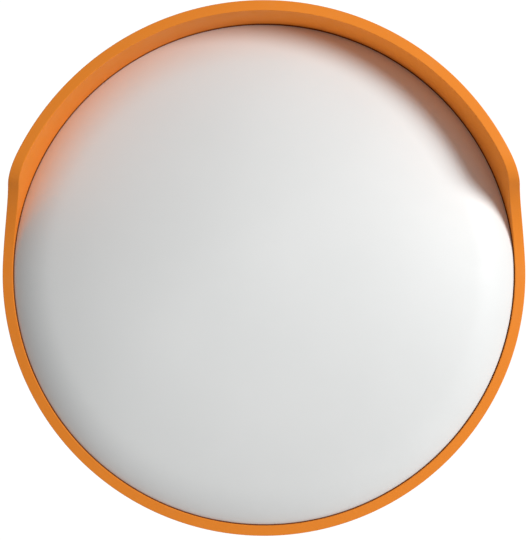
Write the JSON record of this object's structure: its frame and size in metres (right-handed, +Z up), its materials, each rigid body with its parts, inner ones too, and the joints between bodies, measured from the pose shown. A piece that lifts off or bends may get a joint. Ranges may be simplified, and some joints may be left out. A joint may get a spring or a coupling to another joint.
{
  "type": "traffic convex mirror",
  "caption": "Round convex traffic mirror in an orange rim with integral hood, on a bracket that tilts and pans over a two-part pole clamp.",
  "frame": {"origin": "centre of the pole clamp, on the pole's axis", "axes": "+Z up along the pole; the mirror faces -Y; +X is to the right of a viewer who looks at the mirror"},
  "size_m": [0.6248, 0.322, 0.6248],
  "materials": {
    "mirror_face": "metallised plastic, slightly hazy",
    "orange_moulding": "satin moulded plastic",
    "gasket_rubber": "matt, dark brown",
    "galvanised_steel": "hot-dip galvanised",
    "knuckle_casting": "grey paint over a sand casting",
    "zinc_fasteners": "zinc plated"
  },
  "bodies": {
    "clamp": {"clamp_front": "galvanised_steel", "pan_bolt": "zinc_fasteners", "pan_washers": "zinc_fasteners", "pan_spring_washer": "zinc_fasteners", "pan_nut": "zinc_fasteners", "clamp_bolts": "zinc_fasteners", "clamp_head_washers": "zinc_fasteners"},
    "knuckle": {"knuckle": "knuckle_casting", "tilt_bolt": "zinc_fasteners", "tilt_washers": "zinc_fasteners", "tilt_spring_washer": "zinc_fasteners", "tilt_nut": "zinc_fasteners", "lock_bolt": "zinc_fasteners", "lock_washers": "zinc_fasteners", "lock_spring_washer": "zinc_fasteners", "lock_nut": "zinc_fasteners"},
    "head": {"mirror_dish": "mirror_face", "edge_gasket": "gasket_rubber", "hood_rim": "orange_moulding", "back_shell": "orange_moulding", "rim_screws": "zinc_fasteners", "backing_plate": "galvanised_steel", "tilt_bracket": "galvanised_steel", "plate_bolts": "zinc_fasteners", "plate_washers": "zinc_fasteners", "plate_spring_washers": "zinc_fasteners", "plate_nuts": "zinc_fasteners"},
    "rear_half": {"clamp_rear": "galvanised_steel", "clamp_washers": "zinc_fasteners", "clamp_spring_washers": "zinc_fasteners", "clamp_nuts": "zinc_fasteners"}
  },
  "joints": [
    {"name": "pan", "type": "hinge", "parent": "clamp", "child": "knuckle", "pos_m": [0, -0.073, 0], "axis": [0, 0, 1], "range_deg": [-45, 45]},
    {"name": "tilt", "type": "hinge", "parent": "knuckle", "child": "head", "pos_m": [0, -0.111, 0], "axis": [1, 0, 0], "range_deg": [-20, 20]},
    {"name": "rear_half_slide", "type": "slide", "parent": "clamp", "child": "rear_half", "axis": [0, 1, 0], "range_m": [0, 0.01]}
  ]
}
